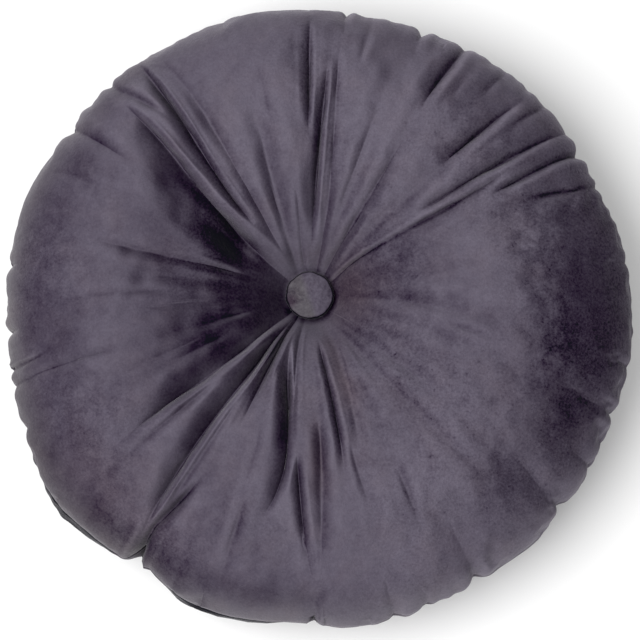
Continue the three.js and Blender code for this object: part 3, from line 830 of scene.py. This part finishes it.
def pileAndPaintedShadeGroup():
    # the share of pile tips that shows, with painted shade and light: the lean to the right, disturbed by
    # patches and marks of handling, through the curve of tips by lean as painted shade by which way the cloth
    # faces, evened out where the cloth leans up or down the face, a painted highlight on crests and painted
    # shade in creases, with dark specks
    group = bpy.data.node_groups.new("pileAndPaintedShade", "ShaderNodeTree")
    addSocket(group, "Vector", "NodeSocketVector", "INPUT")
    inputs = (("Lean Right", 0.0), ("Lean Up", 0.0), ("Crest", 0.0), ("Painted Light And Brushing", 0.0), ("Handled", 0.5),
              ("Patch Size", 26.0), ("Patch Strength", 0.1), ("Mottling", 0.2))
    for name, value in inputs:
        addSocket(group, name, "NodeSocketFloat", "INPUT", value)
    for name in ("Tips", "Roughness", "Height"):
        addSocket(group, name, "NodeSocketFloat", "OUTPUT")
    given = group.nodes.new("NodeGroupInput").outputs
    handled = given["Handled"]
    marksSize, marksStrength = velvetLook["handling"]
    specksSize, specksStrength = velvetLook["specks"]
    grainSize, grainStrength = velvetLook["grain"]
    patchNoise = noiseNode(group, given["Vector"], given["Patch Size"], 8.0, 0.66, 0.5)
    patches = mathNode(group, "SUBTRACT", patchNoise, 0.5)
    marks = mathNode(group, "SUBTRACT", noiseNode(group, given["Vector"], marksSize, 5.0, 0.7, 0.3), 0.5)
    speckNoise = noiseNode(group, given["Vector"], specksSize, 2.0, 0.6)
    fine = mathNode(group, "SUBTRACT", noiseNode(group, given["Vector"], grainSize, 3.0, 0.75), 0.5)

    shift = mathNode(group, "MULTIPLY", patches, mathNode(group, "MULTIPLY", given["Patch Strength"], 4.0))
    shift = mathNode(group, "ADD", shift, mathNode(group, "MULTIPLY", marks, marksStrength * 2))
    shift = mathNode(group, "MULTIPLY", shift, mathNode(group, "ADD", handled, 0.4))
    lean = mathNode(group, "ADD", given["Lean Right"], shift)
    leanRange = tipsAndPaintedShadeByLean[-1][0] - tipsAndPaintedShadeByLean[0][0]
    place = mathNode(group, "MULTIPLY_ADD", lean, 1 / leanRange, 0.5, clamp=True)
    ramp = group.nodes.new("ShaderNodeValToRGB")
    ramp.color_ramp.interpolation = "B_SPLINE"
    elements = ramp.color_ramp.elements
    while len(elements) < len(tipsAndPaintedShadeByLean):
        elements.new(0.5)
    for element, (where, tips) in zip(elements, tipsAndPaintedShadeByLean):
        element.position = where / leanRange + 0.5
        element.color = (tips, tips, tips, 1)
    group.links.new(place, ramp.inputs["Fac"])
    level, growth = velvetLook["evening"]
    across = mathNode(group, "SUBTRACT", given["Lean Up"], level)
    across = mathNode(group, "MULTIPLY", across, across)
    even = mathNode(group, "MULTIPLY", across, growth, clamp=True)
    missing = mathNode(group, "SUBTRACT", 1.0, ramp.outputs["Color"])
    tips = mathNode(group, "MULTIPLY_ADD", missing, even, ramp.outputs["Color"])

    tips = mathNode(group, "ADD", tips, given["Painted Light And Brushing"])
    crest = mathNode(group, "MAXIMUM", given["Crest"], 0.0)
    crease = mathNode(group, "MINIMUM", given["Crest"], 0.0)
    tips = mathNode(group, "MULTIPLY_ADD", crest, velvetLook["paintedCrestHighlight"], tips)
    tips = mathNode(group, "MULTIPLY_ADD", crease, velvetLook["paintedCreaseShade"], tips)
    specks = mathNode(group, "MULTIPLY_ADD", speckNoise, *velvetLook["speckEdge"], clamp=True)
    specks = mathNode(group, "MULTIPLY", specks, handled)
    tips = mathNode(group, "MULTIPLY_ADD", specks, -specksStrength, tips)
    mottling = mathNode(group, "MULTIPLY", mathNode(group, "ADD", patches, marks), given["Mottling"])
    tips = mathNode(group, "ADD", tips, mottling)
    grain = mathNode(group, "MULTIPLY", fine, mathNode(group, "MULTIPLY_ADD", handled, 0.5, 0.5))
    tips = mathNode(group, "MULTIPLY_ADD", grain, grainStrength, tips)

    result = group.nodes.new("NodeGroupOutput").inputs
    group.links.new(mathNode(group, "MAXIMUM", tips, 0.02), result["Tips"])
    group.links.new(mathNode(group, "MULTIPLY_ADD", patches, -0.5, 0.82, clamp=True), result["Roughness"])
    group.links.new(mathNode(group, "MULTIPLY_ADD", marks, 2.0, fine), result["Height"])
    return group


pileAndPaintedShade = pileAndPaintedShadeGroup()


def velvetMaterial(name, look=velvetLook):
    # the colour runs from the colour of the deepest painted shade to the lit colour with the pile's tips, then
    # takes the warm tint and the painted grey sheen by the mesh's own numbers, and the grain and the marks of
    # handling raise it
    material = bpy.data.materials.new(name)
    material.use_nodes = True
    tree = material.node_tree
    shader = tree.nodes["Principled BSDF"]
    place = tree.nodes.new("ShaderNodeTexCoord").outputs["Object"]
    pile = tree.nodes.new("ShaderNodeGroup")
    pile.node_tree = pileAndPaintedShade
    pile.inputs["Patch Size"].default_value = look["patchSize"]
    pile.inputs["Patch Strength"].default_value = look["patchStrength"]
    pile.inputs["Mottling"].default_value = look["mottling"]
    tree.links.new(place, pile.inputs["Vector"])

    def attribute(name):
        node = tree.nodes.new("ShaderNodeAttribute")
        node.attribute_name = name
        return node.outputs["Fac"]

    for name, socket in (("tiltRight", "Lean Right"), ("tiltUp", "Lean Up"), ("crest", "Crest"),
                         ("paintedLightAndBrushing", "Painted Light And Brushing"), ("handled", "Handled")):
        tree.links.new(attribute(name), pile.inputs[socket])
    deep, light = velvetLook["tipsRange"]
    share = mathNode(tree, "MULTIPLY_ADD", pile.outputs["Tips"], 1 / (light - deep), -deep / (light - deep))
    colour = mixColours(tree, "MIX", share, velvetLook["paintedShadeColour"], velvetLook["paintedLitColour"], clamp=False)
    hueSize, hueLevel, hueStrength = velvetLook["warmPatches"]
    hue = mathNode(tree, "SUBTRACT", noiseNode(tree, place, hueSize, 4.0, 0.6), hueLevel)
    warmth = mathNode(tree, "MULTIPLY_ADD", hue, hueStrength, attribute("warmth"), clamp=True)
    colour = mixColours(tree, "MULTIPLY", warmth, colour, velvetLook["warmTint"])
    colour = mixColours(tree, "MULTIPLY", attribute("paintedSheenGrey"), colour, velvetLook["paintedSheenTint"])
    tree.links.new(colour, shader.inputs["Base Color"])
    tree.links.new(pile.outputs["Roughness"], shader.inputs["Roughness"])
    bump = tree.nodes.new("ShaderNodeBump")
    bump.inputs["Strength"].default_value, bump.inputs["Distance"].default_value = velvetLook["bump"]
    tree.links.new(pile.outputs["Height"], bump.inputs["Height"])
    tree.links.new(bump.outputs["Normal"], shader.inputs["Normal"])
    shader.inputs["Specular IOR Level"].default_value = 0.1
    shader.inputs["Sheen Weight"].default_value = velvetLook["sheen"]
    shader.inputs["Sheen Roughness"].default_value = 0.35
    shader.inputs["Sheen Tint"].default_value = (0.8, 0.78, 0.82, 1)
    return material


cushion.data.materials.append(velvetMaterial("purpleGreyVelvet"))

# The covered buttons: velvet drawn over a round form, flat in front and pleated underneath
buttonShape = {
    "frontRadius": 15.3,
    "backRadius": 13,
    "side": 4.2,  # how thick the rounded edge is
    "crown": 2.2,
    "clearance": 0.35,  # from the cloth that it is pulled against
    "pleats": 26,
    "pleatDepth": 0.3,
    "unevenness": [(0.14, 9), (0.05, 3.5)],
    "columns": 180,
    "sidePoints": 26,
    "facePoints": 40,
    "footPoints": 12,
}
buttonLook = {
    "patchSize": 120,
    "patchStrength": 0.2,
    "mottling": 0.5,
    "lean": 0.6,  # the share of the cloth's lean that the painted shade by facing follows
    "handled": 0.6,
    "darker": 0.08,
    "paintedEdgeShade": (1.1, 0.99, 0.82),  # painted shade round the edge: how much, and the shares of the side's height it grows over
    "paintedLitSide": (0.1, 0.12, 0.5),  # painted light on the side towards the key lamp: how much lighter, and the shares of the radius it grows over
    "lightFrom": (0.25, 1, 0.35),  # those shares are this, less this rightward, less this upward
    # painted grey sheen on that lit side
    "paintedLitSideGrey": 0.9,
    "warmSpot": (-0.8, -0.26, 0.26, 0.6),  # right and up from the middle, its size, all in radii; how dark
}


def buttonGrid(radius):
    # from the middle of the face: a shallow dome, a side rounded through 150 degrees, a flat foot at height 0
    side, crown = buttonShape["side"], buttonShape["crown"]
    middle = radius - side / 2
    turn = np.radians(np.linspace(-90, 60, buttonShape["sidePoints"]))
    sideOut = middle + side / 2 * np.cos(turn)
    sideUp = side / 2 * (1 + np.sin(turn))
    domeRadius = (sideOut[-1] ** 2 + crown ** 2) / (2 * crown)
    faceOut = np.linspace(sideOut[-1], 0.4, buttonShape["facePoints"])[1:]
    faceUp = sideUp[-1] + crown - domeRadius + np.sqrt(domeRadius ** 2 - faceOut ** 2)
    footOut = np.linspace(1, middle, buttonShape["footPoints"])[:-1]
    out = np.concatenate([footOut, sideOut, faceOut])[::-1]
    up = np.concatenate([np.zeros_like(footOut), sideUp, faceUp])[::-1]
    angle = np.linspace(0, 2 * np.pi, buttonShape["columns"], endpoint=False)[:, None]
    points = np.stack([np.cos(angle) * out, np.sin(angle) * out, up + 0 * angle], axis=-1)
    under = smoothStep(side * 0.75, side * 0.15, up) * smoothStep(middle - 5, middle, out)
    wave = np.sin(buttonShape["pleats"] * angle + 2 * np.sin(3 * angle))
    pleat = buttonShape["pleatDepth"] * under * wave ** 2
    uneven = enumerate(buttonShape["unevenness"])
    lumps = sum(size * ripples(points, length, 31 + number) for number, (size, length) in uneven)
    shrink = (pleat - lumps * smoothStep(0, side * 0.5, up))[..., None]
    outward = points / np.maximum(1e-6, np.linalg.norm(points, axis=-1, keepdims=True))
    points = points - outward * shrink
    points[..., 2] = np.maximum(0, points[..., 2])
    return points, out, up


def addButton(name, radius, height, facing):
    # a button that stands on its foot at this height over the tuft, with its pile's numbers, painted light and
    # shade among them
    points, out, up = buttonGrid(radius)
    across, upward = points[..., 0] / radius, points[..., 1] / radius
    tuftX, tuftY = cushionShape["tuft"]
    if facing < 0:
        points = points * (1, -1, -1)
    points = points + (tuftX, tuftY, height)
    button = addPiece(name, meshFromGrid(name, points))
    normals = gridNormals(button.data, points.shape)
    setAttribute(button.data, "tiltRight", normals[..., 0] * buttonLook["lean"])
    setAttribute(button.data, "tiltUp", normals[..., 1] * buttonLook["lean"])
    setAttribute(button.data, "crest", np.zeros_like(across))
    paintedEdgeShade, high, low = buttonLook["paintedEdgeShade"]
    edge = smoothStep(buttonShape["side"] * high, buttonShape["side"] * low, up)
    lighter, near, far = buttonLook["paintedLitSide"]
    level, rightward, upwards = buttonLook["lightFrom"]
    paintedLitSide = smoothStep(near, far, level - rightward * across - upwards * upward)
    spotX, spotY, size, darkness = buttonLook["warmSpot"]
    spot = bell(np.hypot(across - spotX, upward - spotY), size)
    # painted light on the lit side, painted shade round the edge, and the darker warm spot
    paintedLightAndBrushing = lighter * paintedLitSide - buttonLook["darker"] - darkness * spot - paintedEdgeShade * edge
    setAttribute(button.data, "paintedLightAndBrushing", paintedLightAndBrushing)
    setAttribute(button.data, "handled", np.full_like(across, buttonLook["handled"]))
    setAttribute(button.data, "warmth", spot)
    setAttribute(button.data, "paintedSheenGrey", buttonLook["paintedLitSideGrey"] * paintedLitSide * (1 - spot))
    return button


frontSeat = cushionShape["seamHeight"] + cushionShape["frontRise"] - cushionShape["frontHollow"][0]
frontSeat = frontSeat - cushionShape["funnel"][0]
backSeat = cushionShape["seamHeight"] - cushionShape["backDrop"] + cushionShape["backHollow"][0]
frontButton = addButton("frontButton", buttonShape["frontRadius"], frontSeat + buttonShape["clearance"], 1)
backButton = addButton("backButton", buttonShape["backRadius"], backSeat - buttonShape["clearance"], -1)
buttonVelvet = velvetMaterial("buttonVelvet", buttonLook)
for button, node in ((frontButton, "button_front"), (backButton, "button_back")):
    button.data.materials.append(buttonVelvet)
    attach(button, "root")
    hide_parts(node)
print("buttons covered")

# Floor, light and camera
floorMesh = bpy.data.meshes.new("floor")
reach = 6  # metres
floorMesh.from_pydata([(-reach, -reach, 0), (reach, -reach, 0), (reach, reach, 0), (-reach, reach, 0)], [],
                      [(0, 1, 2, 3)])
floor = addPiece("floor", floorMesh)
floorMaterial = bpy.data.materials.new("paleFloor")
floorMaterial.use_nodes = True
floorShader = floorMaterial.node_tree.nodes["Principled BSDF"]
floorShader.inputs["Base Color"].default_value = (0.86, 0.86, 0.86, 1)
floorShader.inputs["Roughness"].default_value = 0.9
floorShader.inputs["Specular IOR Level"].default_value = 0.0
floorMesh.materials.append(floorMaterial)

worldStrength = 0.78
keyLight = {
    "azimuth": 194,  # counter-clockwise from +X
    "elevation": 50,
    "distance": 5,
    "size": 5.6,
    "power": 304,
}
world = bpy.data.worlds.new("studio")
world.use_nodes = True
world.node_tree.nodes["Background"].inputs["Color"].default_value = (1, 1, 1, 1)
world.node_tree.nodes["Background"].inputs["Strength"].default_value = worldStrength
bpy.context.scene.world = world


def areaLight(name, azimuth, elevation, distance, size, power):
    # a round light, this far from the cushion's middle and turned to it
    data = bpy.data.lights.new(name, "AREA")
    data.shape = "DISK"
    data.size = size
    data.energy = power
    light = bpy.data.objects.new(name, data)
    bpy.context.scene.collection.objects.link(light)
    turn, lift = math.radians(azimuth), math.radians(elevation)
    away = Vector((math.cos(turn) * math.cos(lift), math.sin(turn) * math.cos(lift), math.sin(lift)))
    light.location = away * distance + Vector((0, 0, 0.05))
    light.rotation_euler = away.to_track_quat("Z", "Y").to_euler()
    return light


areaLight("keyLight", **keyLight)

cameraView = {
    "elevation": 82,
    "lens": 250,
    "seenWidth": 408.6,  # millimetres across the frame at the seam's height
    "aim": (2.55, -2.45, 47),
    "sensor": 36,
}
cameraData = bpy.data.cameras.new("camera")
cameraData.lens = cameraView["lens"]
cameraData.sensor_width = cameraView["sensor"]
camera = bpy.data.objects.new("camera", cameraData)
bpy.context.scene.collection.objects.link(camera)
cameraDistance = cameraView["seenWidth"] * mm * cameraView["lens"] / cameraView["sensor"]
lift = math.radians(cameraView["elevation"])
away = Vector((0, -math.cos(lift), math.sin(lift)))
camera.location = Vector(cameraView["aim"]) * mm + away * cameraDistance
camera.rotation_euler = away.to_track_quat("Z", "Y").to_euler()
bpy.context.scene.camera = camera
bpy.context.scene.view_settings.view_transform = "Standard"
